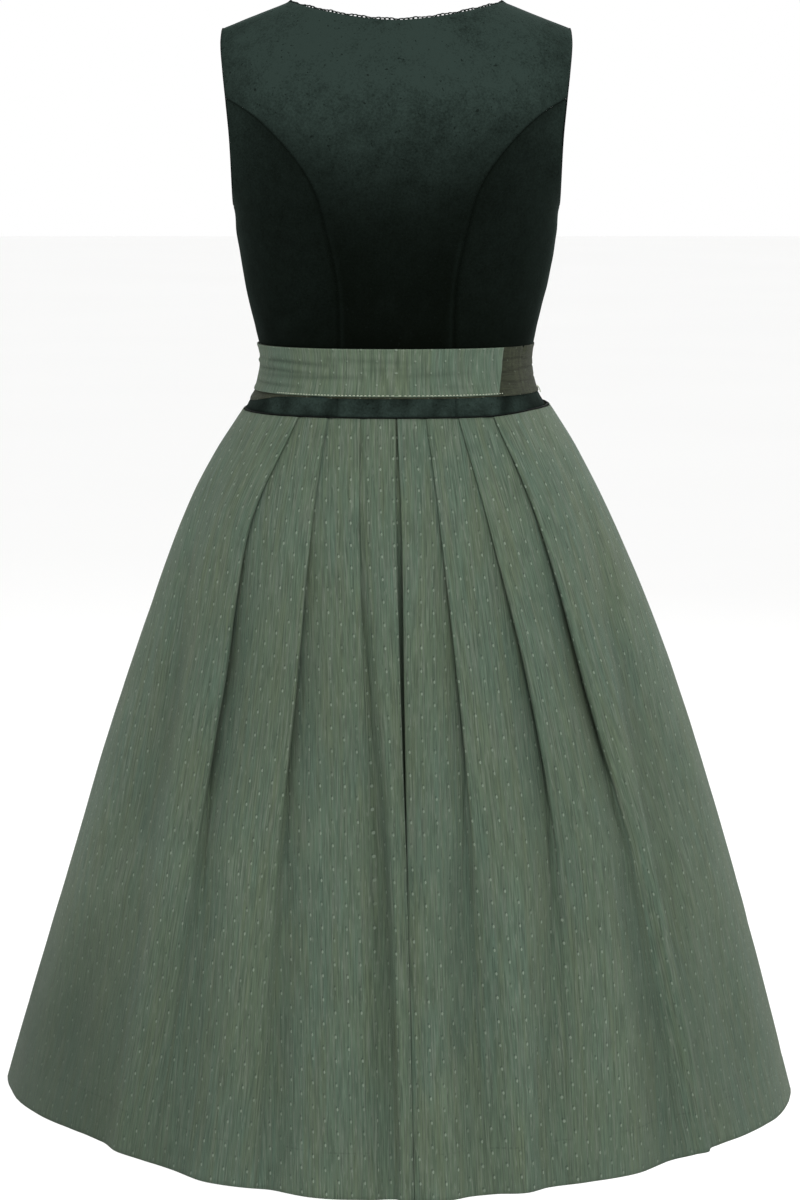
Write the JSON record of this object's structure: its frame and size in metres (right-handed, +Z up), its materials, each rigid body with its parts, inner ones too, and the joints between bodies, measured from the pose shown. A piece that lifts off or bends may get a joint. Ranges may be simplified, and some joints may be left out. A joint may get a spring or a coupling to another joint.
{
  "type": "dress",
  "caption": "Sleeveless dirndl dress, filled out as worn: fitted velvet bodice, wrapped belt over the waist and a full pleated skirt, open at neck, armholes and hem.",
  "frame": {"origin": "the middle of the natural waist, on the wearer's centre line", "axes": "+Z up, towards the shoulders; the wearer's back is at +Y and the front at -Y; the wearer's left is at +X"},
  "size_m": [0.7398, 0.702, 1.0149],
  "materials": {
    "velvet": "short cotton velvet pile, matt with a soft sheen, dark bottle green",
    "crochet_trim": "crocheted cotton loops, matt, near-black green",
    "piping": "narrow covered cord, matt black",
    "belt_under_cloth": "slubbed plain weave, matt, brown grey",
    "belt_over_cloth": "slubbed plain weave with sparse woven dots, matt, grey green",
    "skirt_cloth": "slubbed plain weave with a staggered lattice of small woven dots, matt, grey green"
  },
  "bodies": {
    "root": {"bodice_back": "velvet", "bodice_side_back_left": "velvet", "bodice_side_back_right": "velvet", "bodice_side_front_left": "velvet", "bodice_side_front_right": "velvet", "bodice_front_left": "velvet", "bodice_front_right": "velvet", "neck_trim": "crochet_trim", "armhole_piping_left": "piping", "armhole_piping_right": "piping", "waist_piping": "piping", "belt_under": "belt_under_cloth", "belt_over": "belt_over_cloth", "skirt_back": "skirt_cloth", "skirt_front": "skirt_cloth"}
  },
  "joints": []
}
